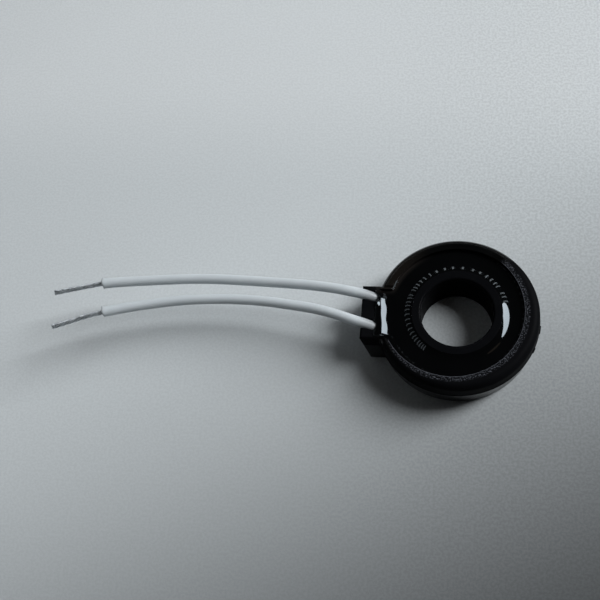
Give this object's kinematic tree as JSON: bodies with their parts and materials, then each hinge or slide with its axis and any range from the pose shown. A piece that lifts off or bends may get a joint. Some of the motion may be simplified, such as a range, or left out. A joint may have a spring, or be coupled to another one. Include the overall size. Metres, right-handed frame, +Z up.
{
  "type": "current transformer",
  "caption": "Ring-type current transformer: black potted case round a through bore for the primary conductor, with a slotted boss and two white flying leads stripped at their ends.",
  "frame": {"origin": "on the bore's axis, in the plane of the base", "axes": "+Z up along the bore, -X towards the lead boss and the free ends of the leads, base on the plane z = 0"},
  "size_m": [0.0669, 0.022, 0.0093],
  "materials": {
    "case_plastic": "black moulded plastic, fine matte",
    "resin": "glossy black potting resin",
    "core_strip": "wound strip edges",
    "box_plastic": "natural moulded plastic",
    "enamelled_wire": "enamelled copper",
    "tape": "film tape",
    "solder": "solder",
    "white_insulation": "satin white wire insulation",
    "tinned_strand": "tinned copper strands"
  },
  "bodies": {
    "root": {"case": "case_plastic", "potting": "resin", "core": "core_strip", "core_box": "box_plastic", "core_box_lid": "box_plastic", "winding": "enamelled_wire", "winding_wrap": "tape", "start_tail": "enamelled_wire", "finish_tail": "enamelled_wire", "start_joint": "solder", "finish_joint": "solder", "far_lead_insulation": "white_insulation", "near_lead_insulation": "white_insulation", "far_lead_conductor": "tinned_strand", "near_lead_conductor": "tinned_strand"}
  },
  "joints": []
}
